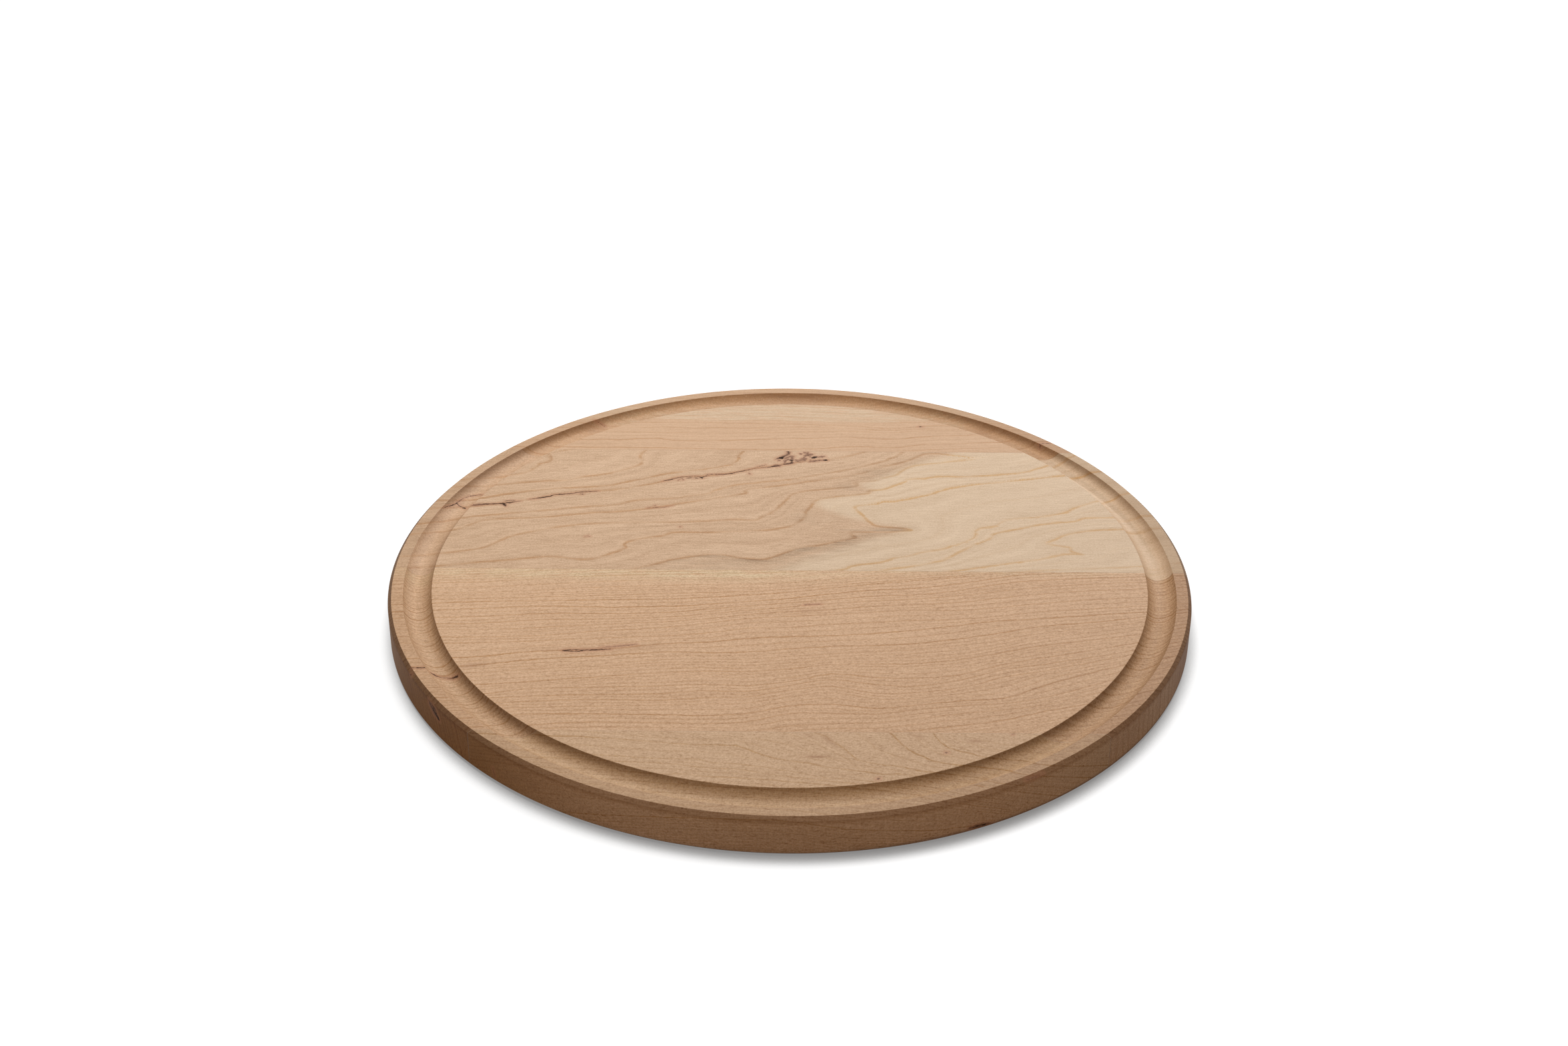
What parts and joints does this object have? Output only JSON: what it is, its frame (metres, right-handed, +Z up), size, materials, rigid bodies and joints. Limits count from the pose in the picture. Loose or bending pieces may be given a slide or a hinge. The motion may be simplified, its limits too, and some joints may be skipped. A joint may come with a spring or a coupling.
{
  "type": "round cutting board",
  "caption": "Round edge-glued wooden cutting board with a juice groove near the rim and chamfered edges.",
  "frame": {"origin": "centre of the underside, on the surface that the board rests on", "axes": "+Z up through the cutting face, X along the grain and the seams, -Y to the front of the picture"},
  "size_m": [0.4, 0.4, 0.0205],
  "materials": {
    "back_stave_wood": "fine-sanded, unvarnished, flat-sawn",
    "streaked_stave_wood": "fine-sanded, unvarnished, pinkish heartwood with pale sapwood",
    "straight_grain_stave_wood": "fine-sanded, unvarnished, nearly quarter-sawn",
    "front_stave_wood": "fine-sanded, unvarnished, flat-sawn",
    "back_glue": "set wood glue",
    "centre_glue": "set wood glue",
    "front_glue": "set wood glue"
  },
  "bodies": {
    "root": {"back_stave": "back_stave_wood", "streaked_stave": "streaked_stave_wood", "straight_grain_stave": "straight_grain_stave_wood", "front_stave": "front_stave_wood", "back_glue_film": "back_glue", "centre_glue_film": "centre_glue", "front_glue_film": "front_glue"}
  },
  "joints": []
}
